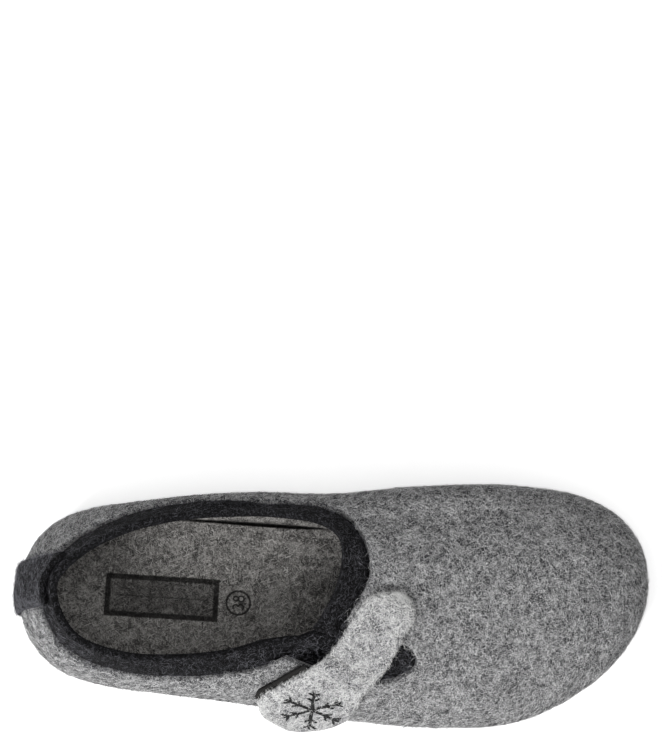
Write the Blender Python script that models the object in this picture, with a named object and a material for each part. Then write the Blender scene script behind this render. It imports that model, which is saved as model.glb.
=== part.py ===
"""House slipper of moulded wool felt, right foot, closed toe and heel, with a side strap.

Metres. +X runs from the heel to the toe, +Y to the inner (medial) side, +Z up.
The origin lies on the floor under the middle of the heel tread.
Every curved piece is worked out from the same wall surface, wall(turn, climb):
turn goes once around the shoe (0 heel, 0.25 outer side, 0.5 toe, 0.75 inner side),
climb goes from 0 on the widest line of the upper to 1 at the edge of the opening.
"""
from collections import namedtuple

import bmesh
import bpy
import numpy as np
from mathutils.bvhtree import BVHTree

# Driving sizes
LENGTH = 0.2576         # heel back to toe tip over the felt
WIDTH = 0.099           # across the ball over the felt
RISE = 0.066            # floor to the highest point of the throat
WALL = 0.0036           # grey felt of the upper
BAND = 0.0034           # dark felt of the collar
BAND_LEVEL = 0.0006     # band's outer face behind the wall, above the grey edge
BAND_RISE = 0.0035      # length over which it comes out from behind the grey felt
BEVEL = 0.0018          # cut edge of the grey felt drawn in over this length
STRAP = 0.0040          # two layers of felt in the strap
TAB = 0.0022            # dark felt strip on the heel
CLEAR = 0.0003          # gap left between pieces that lie on one another
HEEL_SOLE = 0.0105      # sole thickness under the heel
FORE_SOLE = 0.0070      # sole thickness under the ball
SPRING = 0.0050         # toe lifted off the floor
ARCH = 0.0022           # underside lifted between the two treads
BULGE = 0.0085          # widest line of the upper above the sole
TUCK = 0.0070           # upper drawn in under its widest line
INSOLE = 0.0055         # felt insole
INSOLE_SLACK = 0.0022   # insole standing clear of the wall at the inner waist
TAB_HALF = 0.0101       # half the width of the heel strip
TAB_Y = 0.0013          # middle of the heel strip
TREAD_X = 0.0376        # middle of the heel tread from the heel back
TURNS = 100             # points around the felt

# Rows of the widest line: share of the length, half width and sideways shift as shares of WIDTH
Outline = namedtuple("Outline", "station half shift")
OUTLINE = (
    Outline(0.000, 0.385, -0.008),
    Outline(0.162, 0.392, -0.013),
    Outline(0.354, 0.428, -0.028),
    Outline(0.505, 0.453, -0.060),
    Outline(0.657, 0.491, -0.059),
    Outline(0.798, 0.514, -0.039),
    Outline(0.899, 0.512, 0.009),
    Outline(1.000, 0.519, 0.055),
)

# Rows around the shoe: turn, then the opening edge as shares of LENGTH, WIDTH and RISE,
# lift: height of the side control point, reach and drop: control point under the edge,
# grey: length of band left showing above the grey edge (metres)
Row = namedtuple("Row", "turn x y z lift reach drop grey")
ROWS = (
    Row(0.000, 0.047, -0.022, 0.883, 0.55, 0.40, 0.42, 0.0135),   # heel back
    Row(0.065, 0.076, -0.217, 0.852, 0.55, 0.38, 0.42, 0.0141),   # outer side of the heel
    Row(0.140, 0.159, -0.310, 0.807, 0.58, 0.52, 0.36, 0.0151),   # outer quarter
    Row(0.210, 0.242, -0.311, 0.792, 0.60, 0.62, 0.30, 0.0194),   # outer waist
    Row(0.270, 0.320, -0.293, 0.807, 0.60, 0.55, 0.33, 0.0171),   # ahead of the strap
    Row(0.320, 0.400, -0.263, 0.852, 0.60, 0.45, 0.38, 0.0105),   # where the strap crosses
    Row(0.365, 0.452, -0.229, 0.953, 0.62, 0.42, 0.36, 0.0095),   # outer corner of the opening
    Row(0.410, 0.486, -0.107, 1.020, 0.66, 0.48, 0.38, 0.0105),   # outer side of the throat
    Row(0.455, 0.502, -0.001, 1.043, 0.69, 0.55, 0.40, 0.0124),   # throat
    Row(0.510, 0.508, 0.099, 1.051, 0.70, 0.57, 0.42, 0.0117),    # middle of the throat
    Row(0.580, 0.499, 0.207, 0.998, 0.66, 0.52, 0.40, 0.0096),    # inner side of the throat
    Row(0.650, 0.453, 0.276, 0.930, 0.68, 0.80, 0.28, 0.0133),    # inner corner of the opening
    Row(0.720, 0.370, 0.309, 0.830, 0.75, 1.00, 0.20, 0.0194),    # inner waist
    Row(0.790, 0.279, 0.297, 0.807, 0.75, 1.00, 0.20, 0.0194),    # inner side
    Row(0.860, 0.177, 0.248, 0.822, 0.60, 0.55, 0.36, 0.0137),    # inner quarter
    Row(0.930, 0.091, 0.133, 0.852, 0.55, 0.38, 0.42, 0.0126),    # inner side of the heel
    Row(1.000, 0.047, -0.022, 0.883, 0.55, 0.40, 0.42, 0.0135),   # heel back again
)

# Notch cut in the grey edge beside the throat and filled by the band
NOTCH_TURN = 0.351
NOTCH_HALF = 0.0445
NOTCH_DEEP = 0.038
BAND_TUCK = 0.008       # band sewn in behind the grey edge

# Strap seen from above: both edges from the root on the vamp to the end of the disc,
# as shares of LENGTH and WIDTH
Strap = namedtuple("Strap", "back_x back_y front_x front_y")
STRAP_ROWS = (
    Strap(0.597, -0.046, 0.599, -0.050),   # rounded root
    Strap(0.558, -0.054, 0.614, -0.089),
    Strap(0.536, -0.095, 0.616, -0.148),
    Strap(0.519, -0.168, 0.602, -0.217),
    Strap(0.499, -0.245, 0.582, -0.318),   # over the notch
    Strap(0.481, -0.302, 0.556, -0.396),
    Strap(0.459, -0.342, 0.539, -0.443),   # disc begins
    Strap(0.433, -0.376, 0.530, -0.486),
    Strap(0.408, -0.410, 0.514, -0.524),
    Strap(0.383, -0.443, 0.484, -0.549),
    Strap(0.378, -0.478, 0.444, -0.553),
    Strap(0.387, -0.505, 0.418, -0.538),   # rounded end
)
DISC_HIGH = 0.0530      # underside of the disc at its upper edge
DISC_Y = -0.364         # share of WIDTH where the upper edge lies
DISC_SLOPE = 1.15       # fall of the disc over its width
DISC_BEND = 22.0        # steeper towards its lower edge, per metre
EASE = 0.0030           # softness of the bend between vamp and disc
TAPE = 0.0010           # hook tape under the disc
TAPE_SHOW = 0.0012      # tape standing out past the edge of the disc


def blend(share, xs, ys):
    """Smooth curve through table values, slopes taken from the neighbouring rows."""
    share = np.asarray(share, float)
    xs = np.asarray(xs, float)
    ys = np.asarray(ys, float)
    step = np.diff(xs)
    slope = np.diff(ys) / step
    tangent = np.empty_like(ys)
    tangent[0] = slope[0]
    tangent[-1] = slope[-1]
    tangent[1:-1] = (slope[:-1] * step[1:] + slope[1:] * step[:-1]) / (step[1:] + step[:-1])
    i = np.clip(np.searchsorted(xs, share) - 1, 0, len(xs) - 2)
    s = (share - xs[i]) / step[i]
    rise = ys[i] * (1 + 2 * s) * (1 - s) ** 2 + ys[i + 1] * s * s * (3 - 2 * s)
    return rise + step[i] * (tangent[i] * s * (1 - s) ** 2 + tangent[i + 1] * s * s * (s - 1))


def around(name, turn):
    """One column of ROWS as a smooth closed curve of turn."""
    rows = ROWS[-3:-1] + ROWS + ROWS[1:3]
    turns = [r.turn for r in rows]
    turns[0] -= 1.0
    turns[1] -= 1.0
    turns[-1] += 1.0
    turns[-2] += 1.0
    return blend(np.mod(turn, 1.0), turns, [getattr(r, name) for r in rows])


def smooth(low, high, value):
    t = np.clip((value - low) / (high - low), 0.0, 1.0)
    return t * t * (3 - 2 * t)


def seat(x):
    """Top of the sole: heel, slope to the ball, toe spring."""
    s = x / LENGTH
    lift = SPRING * np.clip((s - 0.78) / 0.22, 0.0, 1.0) ** 2
    return HEEL_SOLE + (FORE_SOLE - HEEL_SOLE) * smooth(0.22, 0.55, s) + lift


def tread(x):
    """Underside of the sole: flat heel, lifted arch, flat ball, toe spring."""
    s = x / LENGTH
    arch = ARCH * smooth(0.28, 0.38, s) * (1 - smooth(0.46, 0.56, s))
    return arch + SPRING * np.clip((s - 0.78) / 0.22, 0.0, 1.0) ** 2


def outline(turn):
    """Widest line of the upper."""
    turn = np.mod(turn, 1.0)
    s = (1 - np.cos(2 * np.pi * turn)) / 2
    power = np.where(s < 0.5, 7.5, 4.0)
    end = np.sqrt(np.clip(1 - np.abs(2 * s - 1) ** power, 0.0, 1.0))
    half = blend(s, [r.station for r in OUTLINE], [r.half for r in OUTLINE]) * WIDTH * end
    shift = blend(s, [r.station for r in OUTLINE], [r.shift for r in OUTLINE]) * WIDTH
    side = np.where(turn < 0.5, -1.0, 1.0)
    x = s * LENGTH
    return np.stack([x, shift + side * half, seat(x) + BULGE], -1)


def wall(turn, climb):
    """Outer surface of the wall for equal arrays of turn and climb."""
    low = outline(turn)
    high = np.stack([around("x", turn) * LENGTH, around("y", turn) * WIDTH,
                     around("z", turn) * RISE], -1)
    span = high - low
    side = low + np.stack([0 * turn, 0 * turn, around("lift", turn) * span[..., 2]], -1)
    reach = around("reach", turn)[..., None]
    under = high - span * np.array([1.0, 1.0, 0.0]) * reach
    under = under - np.stack([0 * turn, 0 * turn, around("drop", turn) * span[..., 2]], -1)
    t = climb[..., None]
    return ((1 - t) ** 3 * low + 3 * t * (1 - t) ** 2 * side + 3 * t * t * (1 - t) * under
            + t ** 3 * high)


def wall_normal(turn, climb):
    """Unit normals of the wall, pointing out of the shoe."""
    step = 1e-4
    du = wall(turn + step, climb) - wall(turn - step, climb)
    dv = wall(turn, climb + step) - wall(turn, climb - step)
    normal = np.cross(du, dv)
    return normal / np.linalg.norm(normal, axis=-1)[..., None]


def arc_climb(turn, back):
    """Climb value that lies the length back under the opening edge, along the wall."""
    climbs = np.linspace(0.0, 1.0, 81)
    grid_turn, grid_climb = np.meshgrid(turn, climbs, indexing="ij")
    points = wall(grid_turn, grid_climb)
    steps = np.linalg.norm(np.diff(points, axis=1), axis=2)
    length = np.concatenate([np.zeros((len(turn), 1)), np.cumsum(steps, 1)], 1)
    return np.array([np.interp(length[i, -1] - back[i], length[i], climbs)
                     for i in range(len(turn))])


def notch(turn):
    """Depth of the notch beside the throat."""
    off = np.clip(np.abs(turn - NOTCH_TURN) / NOTCH_HALF, 0.0, 1.0)
    return NOTCH_DEEP * np.sqrt(1 - off ** 3.5)


def around_turns(count):
    """Turns around the shoe, closer together beside the notch and at the tight corners."""
    base = np.linspace(0.0, 1.0, 4001)
    weight = 1.0 + 2.6 * np.exp(-((base - NOTCH_TURN) / 0.035) ** 2)
    weight = weight + 0.8 * np.exp(-((base - 0.66) / 0.05) ** 2)
    total = np.concatenate([[0.0], np.cumsum((weight[1:] + weight[:-1]) / 2)])
    return np.interp(np.arange(count) / count * total[-1], total, base)


def clear_scene():
    for item in list(bpy.data.objects):
        bpy.data.objects.remove(item, do_unlink=True)


def material(name, colour, rough):
    mat = bpy.data.materials.new(name)
    mat.use_nodes = True
    shader = mat.node_tree.nodes["Principled BSDF"]
    shader.inputs["Base Color"].default_value = (*colour, 1.0)
    shader.inputs["Roughness"].default_value = rough
    return mat


def add(name, points, faces, mat):
    """Mesh object from points and faces, outward normals, origin under the heel tread."""
    mesh = bpy.data.meshes.new(name)
    moved = np.asarray(points) - np.array([TREAD_X, 0.0, 0.0])
    mesh.from_pydata([tuple(map(float, p)) for p in moved], [], faces)
    mesh.materials.append(mat)
    work = bmesh.new()
    work.from_mesh(mesh)
    bmesh.ops.remove_doubles(work, verts=work.verts, dist=2e-6)
    bmesh.ops.dissolve_degenerate(work, edges=work.edges, dist=1e-6)
    bmesh.ops.triangulate(work, faces=work.faces)
    bmesh.ops.recalc_face_normals(work, faces=work.faces)
    work.to_mesh(mesh)
    work.free()
    item = bpy.data.objects.new(name, mesh)
    bpy.context.scene.collection.objects.link(item)
    return item


def strip_faces(first, second, count, closed=True):
    """Quads between two rows of point numbers."""
    last = count if closed else count - 1
    return [(first + i, first + (i + 1) % count, second + (i + 1) % count, second + i)
            for i in range(last)]


def loop_body(rings):
    """Body whose closed rings follow one another and meet again: a turned shell."""
    count = len(rings[0])
    faces = []
    for k in range(len(rings)):
        faces += strip_faces(k * count, ((k + 1) % len(rings)) * count, count)
    return np.concatenate(rings), faces


def cap_faces(points, faces, first, count, across):
    """Fills a ring that is the same on both sides of its long middle with level strips."""
    half = count // 2
    rows = [[first]]
    for k in range(1, half):
        left = points[first + k]
        right = points[first + count - k]
        row = [first + k]
        for j in range(1, across):
            points.append(left + (right - left) * j / across)
            row.append(len(points) - 1)
        row.append(first + count - k)
        rows.append(row)
    rows.append([first + half])
    for a, b in zip(rows[:-1], rows[1:]):
        if len(a) == 1:
            faces += [(a[0], b[j], b[j + 1]) for j in range(across)]
        elif len(b) == 1:
            faces += [(a[j], b[0], a[j + 1]) for j in range(across)]
        else:
            faces += [(a[j], b[j], b[j + 1], a[j + 1]) for j in range(across)]


def stacked_body(rings, across=8):
    """Body of closed rings, one over the other, with both ends filled."""
    count = len(rings[0])
    points = [p for ring in rings for p in ring]
    faces = []
    for k in range(len(rings) - 1):
        faces += strip_faces(k * count, (k + 1) * count, count)
    cap_faces(points, faces, 0, count, across)
    cap_faces(points, faces, (len(rings) - 1) * count, count, across)
    return points, faces


def even_ring(count, inset):
    """Widest line drawn in by inset, with matching points on both sides."""
    turn = np.arange(count) / count
    level = wall_normal(turn, 0 * turn)
    level[:, 2] = 0.0
    return outline(turn) - level * (np.zeros(count) + inset)[:, None]


def under_wall(turn, share, depth):
    """Wall under its widest line: share 0 at the line, 1 at its foot on the sole."""
    ring = outline(turn)
    level = wall_normal(turn, 0 * turn)
    level[:, 2] = 0.0
    angle = share * np.pi / 2
    foot = seat(ring[:, 0]) + CLEAR
    inset = TUCK * (1 - np.cos(angle)) + depth * np.cos(angle)
    out = ring - level * inset
    out[:, 2] = ring[:, 2] - (ring[:, 2] - foot) * np.sin(angle) + depth * np.sin(angle)
    return out


def make_upper(mat):
    turn = around_turns(TURNS)
    edge = arc_climb(turn, around("grey", turn) + notch(turn))
    brow = arc_climb(turn, around("grey", turn) + notch(turn) + BEVEL)
    rings = []
    for share in (1.0, 0.75, 0.50, 0.25):
        rings.append(under_wall(turn, share, 0.0))
    for share in np.linspace(0.0, 1.0, 9):
        rings.append(wall(turn, brow * share))
    rings.append(wall(turn, edge) - wall_normal(turn, edge) * WALL * 0.45)
    for share in np.linspace(1.0, 0.0, 8):
        climb = edge * share
        rings.append(wall(turn, climb) - wall_normal(turn, climb) * WALL)
    for share in (0.25, 0.50, 0.75, 1.0):
        rings.append(under_wall(turn, share, WALL))
    points, faces = loop_body(rings)
    return add("upper", points, faces, mat)


def make_collar(mat):
    """Band sewn in behind the grey felt; above the grey edge it comes out level with it."""
    turn = around_turns(TURNS)
    grey = around("grey", turn)
    low = arc_climb(turn, grey + notch(turn) + BAND_TUCK)
    behind = arc_climb(turn, grey - 0.1 * BAND_RISE)
    rising = arc_climb(turn, grey - 0.6 * BAND_RISE)
    level = arc_climb(turn, grey - 1.1 * BAND_RISE)
    steps = ((low, 0.0), ((low + behind) / 2, 0.0), (behind, 0.0), (rising, 0.5), (level, 1.0),
             (0 * low + 1, 1.0))
    outer = []
    inner = []
    for climb, out in steps:
        back = WALL + CLEAR - (WALL + CLEAR - BAND_LEVEL) * out
        base = wall(turn, climb)
        normal = wall_normal(turn, climb)
        outer.append(base - normal * back)
        inner.append(base - normal * (back + BAND))
    del inner[3]
    points, faces = loop_body(outer + inner[::-1])
    return add("collar", points, faces, mat)


def make_outsole(mat):
    count = 72
    ring_low = even_ring(count, 0.0075)
    ring_side = even_ring(count, 0.0060)
    ring_top = even_ring(count, 0.0052)
    ring_low[:, 2] = tread(ring_low[:, 0])
    ring_side[:, 2] = tread(ring_side[:, 0]) + 0.0015
    ring_top[:, 2] = seat(ring_top[:, 0])
    points, faces = stacked_body([ring_low, ring_side, ring_top])
    return add("outsole", points, faces, mat)


def make_insole(mat):
    """Felt insole on the sole, its upper edge spread over the tucked-in wall."""
    count = 72
    turn = np.arange(count) / count
    slack = INSOLE_SLACK * np.exp(-((turn - 0.725) / 0.045) ** 4)
    foot = even_ring(count, TUCK + 5 * CLEAR)
    side = even_ring(count, TUCK + 5 * CLEAR)
    edge = even_ring(count, WALL + 0.0020 + slack)
    foot[:, 2] = seat(foot[:, 0]) + CLEAR
    side[:, 2] = seat(side[:, 0]) + WALL + 4 * CLEAR
    edge[:, 2] = seat(edge[:, 0]) + CLEAR + INSOLE
    points, faces = stacked_body([foot, side, edge])
    return add("insole", points, faces, mat)


def tab_turns(climb):
    """Turns across the heel strip at one height, the same width everywhere."""
    turn = np.linspace(-0.12, 0.12, 121)
    y = wall(turn, climb + 0 * turn)[:, 1]
    places = TAB_Y + np.linspace(1.0, -1.0, 7) * TAB_HALF
    return np.interp(-places, -y, turn)


def make_tab(mat):
    """Strip up the back of the heel, over the grey felt and the band."""
    outer = []
    inner = []
    for share in (0.55, 0.36, 0.18):
        turn = tab_turns(0.0)
        inner.append(under_wall(turn, share, -CLEAR))
        outer.append(under_wall(turn, share, -CLEAR - TAB))
    for climb in np.linspace(0.0, 0.95, 14):
        turn = tab_turns(climb)
        c = climb + 0 * turn
        base = wall(turn, c)
        normal = wall_normal(turn, c)
        inner.append(base + normal * CLEAR)
        outer.append(base + normal * (CLEAR + TAB))
    points, faces = sheet_body(np.array(inner), np.array(outer))
    return add("heel_tab", points, faces, mat)


def wall_tree():
    """The wall without its notch, as a search tree for heights."""
    turn = np.linspace(0.25, 0.55, 91)
    climb = np.linspace(0.0, 1.0, 41)
    grid = wall(*np.meshgrid(turn, climb, indexing="ij"))
    points = [tuple(map(float, p)) for p in grid.reshape(-1, 3)]
    faces = []
    for i in range(90):
        for j in range(40):
            k = i * 41 + j
            faces.append((k, k + 41, k + 42, k + 1))
    return BVHTree.FromPolygons(points, faces)


def edge_point(name, row):
    """One edge of the strap seen from above, at a fractional row of its table."""
    rows = np.arange(len(STRAP_ROWS))
    x = blend(row, rows, [getattr(r, name + "_x") for r in STRAP_ROWS]) * LENGTH
    y = blend(row, rows, [getattr(r, name + "_y") for r in STRAP_ROWS]) * WIDTH
    return np.stack([x, y], -1)


def strap_under(tree, plan, row, gap):
    """Underside height of the strap: rests on the wall, then runs out as a sloping disc."""
    heights = np.full(len(plan), -1.0)
    for i, (x, y) in enumerate(plan):
        hit = tree.ray_cast((float(x), float(y), 0.2), (0.0, 0.0, -1.0))
        if hit[0] is not None:
            heights[i] = hit[0].z
    rest = heights + gap + 0.0022 * smooth(4.0, 7.0, row)
    fall = plan[:, 1] - DISC_Y * WIDTH
    disc = DISC_HIGH + fall * DISC_SLOPE - DISC_BEND * fall ** 2 - 0.040 * smooth(5.5, 2.0, row)
    return 0.5 * (rest + disc + np.sqrt((rest - disc) ** 2 + EASE ** 2))


def strap_grid(tree, rows, across, widen, gap):
    """Points of the underside for rows along the strap and places across it, -1 to 1."""
    row, place = np.meshgrid(rows, across, indexing="ij")
    back = edge_point("back", row)
    front = edge_point("front", row)
    middle = (back + front) / 2
    half = (front - back) / 2
    size = np.linalg.norm(half, axis=-1)[..., None]
    plan = middle + half * place[..., None] * (1 + widen / np.maximum(size, 1e-4))
    height = strap_under(tree, plan.reshape(-1, 2), row.reshape(-1), gap)
    return np.concatenate([plan, height.reshape(row.shape)[..., None]], -1)


def grid_normals(grid):
    """Unit normals of a grid of points, turned upward."""
    du = np.gradient(grid, axis=0)
    dv = np.gradient(grid, axis=1)
    normal = np.cross(du, dv)
    normal /= np.linalg.norm(normal, axis=-1)[..., None]
    return normal * np.where(normal[..., 2] < 0, -1.0, 1.0)[..., None]


def sheet_body(low, high):
    """Closed body between two grids of the same shape."""
    rows, cols = low.shape[:2]
    size = rows * cols
    faces = []
    for i in range(rows - 1):
        for j in range(cols - 1):
            k = i * cols + j
            faces.append((k, k + 1, k + cols + 1, k + cols))
            faces.append((size + k, size + k + cols, size + k + cols + 1, size + k + 1))
    rim = [j for j in range(cols)]
    rim += [i * cols + cols - 1 for i in range(1, rows)]
    rim += [(rows - 1) * cols + j for j in range(cols - 2, -1, -1)]
    rim += [i * cols for i in range(rows - 2, 0, -1)]
    for k, a in enumerate(rim):
        b = rim[(k + 1) % len(rim)]
        faces.append((a, b, size + b, size + a))
    return np.concatenate([low.reshape(-1, 3), high.reshape(-1, 3)]), faces


def make_strap(tree, mat):
    rows = np.linspace(0.0, len(STRAP_ROWS) - 1.0, 34)
    low = strap_grid(tree, rows, np.linspace(-1.0, 1.0, 10), 0.0, CLEAR + 0.0003)
    high = low + grid_normals(low) * STRAP
    points, faces = sheet_body(low, high)
    return add("strap", points, faces, mat)


def make_tape(tree, mat):
    """Hook tape under the disc, its edge showing past the heel side of the disc."""
    rows = np.linspace(6.2, 9.6, 19)
    low = strap_grid(tree, rows, np.linspace(-1.0, 0.15, 9), TAPE_SHOW, CLEAR + 0.0003)
    drop = grid_normals(low)
    high = low - drop * CLEAR
    points, faces = sheet_body(low - drop * (CLEAR + TAPE), high)
    return add("hook_tape", points, faces, mat)


def main():
    clear_scene()
    grey = material("grey_wool_felt", (0.21, 0.21, 0.22), 0.95)
    light = material("light_wool_felt", (0.32, 0.32, 0.33), 0.95)
    dark = material("dark_wool_felt", (0.02, 0.02, 0.022), 0.95)
    rubber = material("black_rubber", (0.015, 0.015, 0.015), 0.7)
    warm = material("insole_felt", (0.11, 0.105, 0.10), 0.95)
    nylon = material("black_nylon", (0.012, 0.012, 0.012), 0.6)
    make_outsole(rubber)
    make_upper(grey)
    make_insole(warm)
    make_collar(dark)
    make_tab(dark)
    tree = wall_tree()
    make_strap(tree, light)
    make_tape(tree, nylon)


if __name__ == "__main__":
    main()
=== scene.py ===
"""Looks of the felt house slipper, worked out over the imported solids.

Metres, in the solids' frame: +X to the toe, +Y to the inner side, +Z up, origin under the
heel tread. Shapes are first worked out from the back of the heel and then moved by TREAD_X.
"""
from collections import namedtuple

import bmesh
import bpy
import numpy as np
from mathutils import Matrix, Vector
from mathutils.bvhtree import BVHTree

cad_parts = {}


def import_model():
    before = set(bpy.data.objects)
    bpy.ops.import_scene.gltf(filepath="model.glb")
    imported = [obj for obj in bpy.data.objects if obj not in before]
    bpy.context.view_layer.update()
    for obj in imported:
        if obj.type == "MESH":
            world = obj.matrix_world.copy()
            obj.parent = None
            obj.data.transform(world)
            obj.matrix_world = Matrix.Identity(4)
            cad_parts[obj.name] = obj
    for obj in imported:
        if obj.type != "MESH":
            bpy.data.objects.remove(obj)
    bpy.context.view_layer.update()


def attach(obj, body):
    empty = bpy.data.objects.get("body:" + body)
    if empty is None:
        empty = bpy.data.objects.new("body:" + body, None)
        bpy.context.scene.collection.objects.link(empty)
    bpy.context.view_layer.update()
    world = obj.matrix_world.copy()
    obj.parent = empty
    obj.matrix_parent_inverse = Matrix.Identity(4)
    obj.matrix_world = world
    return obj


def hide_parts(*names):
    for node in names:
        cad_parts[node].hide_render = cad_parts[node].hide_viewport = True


# Sizes shared with the solids
LENGTH = 0.2576
WIDTH = 0.099
RISE = 0.066
WALL = 0.0036
BAND_LEVEL = 0.0006
BAND_RISE = 0.0035
BEVEL = 0.0018
BAND = 0.0034
STRAP = 0.0040
TAB = 0.0022
CLEAR = 0.0003
HEEL_SOLE = 0.0105
FORE_SOLE = 0.0070
SPRING = 0.0050
ARCH = 0.0022
BULGE = 0.0085
TUCK = 0.0070
INSOLE = 0.0055
INSOLE_SLACK = 0.0022
TAB_HALF = 0.0101
TAB_Y = 0.0013
TREAD_X = 0.0376

Outline = namedtuple("Outline", "station half shift")
OUTLINE = (
    Outline(0.000, 0.385, -0.008),
    Outline(0.162, 0.392, -0.013),
    Outline(0.354, 0.428, -0.028),
    Outline(0.505, 0.453, -0.060),
    Outline(0.657, 0.491, -0.059),
    Outline(0.798, 0.514, -0.039),
    Outline(0.899, 0.512, 0.009),
    Outline(1.000, 0.519, 0.055),
)

Row = namedtuple("Row", "turn x y z lift reach drop grey")
ROWS = (
    Row(0.000, 0.047, -0.022, 0.883, 0.55, 0.40, 0.42, 0.0135),   # heel back
    Row(0.065, 0.076, -0.217, 0.852, 0.55, 0.38, 0.42, 0.0141),   # outer side of the heel
    Row(0.140, 0.159, -0.310, 0.807, 0.58, 0.52, 0.36, 0.0151),   # outer quarter
    Row(0.210, 0.242, -0.311, 0.792, 0.60, 0.62, 0.30, 0.0194),   # outer waist
    Row(0.270, 0.320, -0.293, 0.807, 0.60, 0.55, 0.33, 0.0171),   # ahead of the strap
    Row(0.320, 0.400, -0.263, 0.852, 0.60, 0.45, 0.38, 0.0105),   # where the strap crosses
    Row(0.365, 0.452, -0.229, 0.953, 0.62, 0.42, 0.36, 0.0095),   # outer corner of the opening
    Row(0.410, 0.486, -0.107, 1.020, 0.66, 0.48, 0.38, 0.0105),   # outer side of the throat
    Row(0.455, 0.502, -0.001, 1.043, 0.69, 0.55, 0.40, 0.0124),   # throat
    Row(0.510, 0.508, 0.099, 1.051, 0.70, 0.57, 0.42, 0.0117),    # middle of the throat
    Row(0.580, 0.499, 0.207, 0.998, 0.66, 0.52, 0.40, 0.0096),    # inner side of the throat
    Row(0.650, 0.453, 0.276, 0.930, 0.68, 0.80, 0.28, 0.0133),    # inner corner of the opening
    Row(0.720, 0.370, 0.309, 0.830, 0.75, 1.00, 0.20, 0.0194),    # inner waist
    Row(0.790, 0.279, 0.297, 0.807, 0.75, 1.00, 0.20, 0.0194),    # inner side
    Row(0.860, 0.177, 0.248, 0.822, 0.60, 0.55, 0.36, 0.0137),    # inner quarter
    Row(0.930, 0.091, 0.133, 0.852, 0.55, 0.38, 0.42, 0.0126),    # inner side of the heel
    Row(1.000, 0.047, -0.022, 0.883, 0.55, 0.40, 0.42, 0.0135),   # heel back again
)

NOTCH_TURN = 0.351
NOTCH_HALF = 0.0445
NOTCH_DEEP = 0.038
BAND_TUCK = 0.008

Strap = namedtuple("Strap", "back_x back_y front_x front_y")
STRAP_ROWS = (
    Strap(0.597, -0.046, 0.599, -0.050),   # rounded root
    Strap(0.558, -0.054, 0.614, -0.089),
    Strap(0.536, -0.095, 0.616, -0.148),
    Strap(0.519, -0.168, 0.602, -0.217),
    Strap(0.499, -0.245, 0.582, -0.318),   # over the notch
    Strap(0.481, -0.302, 0.556, -0.396),
    Strap(0.459, -0.342, 0.539, -0.443),   # disc begins
    Strap(0.433, -0.376, 0.530, -0.486),
    Strap(0.408, -0.410, 0.514, -0.524),
    Strap(0.383, -0.443, 0.484, -0.549),
    Strap(0.378, -0.478, 0.444, -0.553),
    Strap(0.387, -0.505, 0.418, -0.538),   # rounded end
)
DISC_HIGH = 0.0530
DISC_Y = -0.364
DISC_SLOPE = 1.15
DISC_BEND = 22.0
EASE = 0.0030
TAPE = 0.0010
TAPE_SHOW = 0.0012

# Looks
AROUND = 520            # points around the felt
LUMP = 0.00022          # unevenness of the milled felt
SEED = 38


# ---- shape functions, the same as the solids use

def blend(share, xs, ys):
    """Cubic curve through (xs, ys); each slope is the mean of its two neighbours' slopes."""
    share = np.asarray(share, float)
    xs = np.asarray(xs, float)
    ys = np.asarray(ys, float)
    step = np.diff(xs)
    slope = np.diff(ys) / step
    tangent = np.empty_like(ys)
    tangent[0] = slope[0]
    tangent[-1] = slope[-1]
    tangent[1:-1] = (slope[:-1] * step[1:] + slope[1:] * step[:-1]) / (step[1:] + step[:-1])
    i = np.clip(np.searchsorted(xs, share) - 1, 0, len(xs) - 2)
    s = (share - xs[i]) / step[i]
    rise = ys[i] * (1 + 2 * s) * (1 - s) ** 2 + ys[i + 1] * s * s * (3 - 2 * s)
    return rise + step[i] * (tangent[i] * s * (1 - s) ** 2 + tangent[i + 1] * s * s * (s - 1))


def around(name, turn):
    """One column of ROWS as a smooth closed curve of turn."""
    rows = ROWS[-3:-1] + ROWS + ROWS[1:3]
    turns = [r.turn for r in rows]
    turns[0] -= 1.0
    turns[1] -= 1.0
    turns[-1] += 1.0
    turns[-2] += 1.0
    return blend(np.mod(turn, 1.0), turns, [getattr(r, name) for r in rows])


def smooth(low, high, value):
    """0 below low, 1 above high, with a soft S between them."""
    t = np.clip((value - low) / (high - low), 0.0, 1.0)
    return t * t * (3 - 2 * t)


def seat(x):
    """Top of the sole over x: heel height, eased down to the ball, squared rise at the toe."""
    s = x / LENGTH
    lift = SPRING * np.clip((s - 0.78) / 0.22, 0.0, 1.0) ** 2
    return HEEL_SOLE + (FORE_SOLE - HEEL_SOLE) * smooth(0.22, 0.55, s) + lift


def tread(x):
    """Underside of the sole over x: flat heel, lifted arch, flat ball, squared rise."""
    s = x / LENGTH
    arch = ARCH * smooth(0.28, 0.38, s) * (1 - smooth(0.46, 0.56, s))
    return arch + SPRING * np.clip((s - 0.78) / 0.22, 0.0, 1.0) ** 2


def outline(turn):
    """Widest line of the upper: a stretched oval whose half width and shift are tabled."""
    turn = np.mod(turn, 1.0)
    s = (1 - np.cos(2 * np.pi * turn)) / 2
    power = np.where(s < 0.5, 7.5, 4.0)
    end = np.sqrt(np.clip(1 - np.abs(2 * s - 1) ** power, 0.0, 1.0))
    half = blend(s, [r.station for r in OUTLINE], [r.half for r in OUTLINE]) * WIDTH * end
    shift = blend(s, [r.station for r in OUTLINE], [r.shift for r in OUTLINE]) * WIDTH
    side = np.where(turn < 0.5, -1.0, 1.0)
    x = s * LENGTH
    return np.stack([x, shift + side * half, seat(x) + BULGE], -1)


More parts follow.
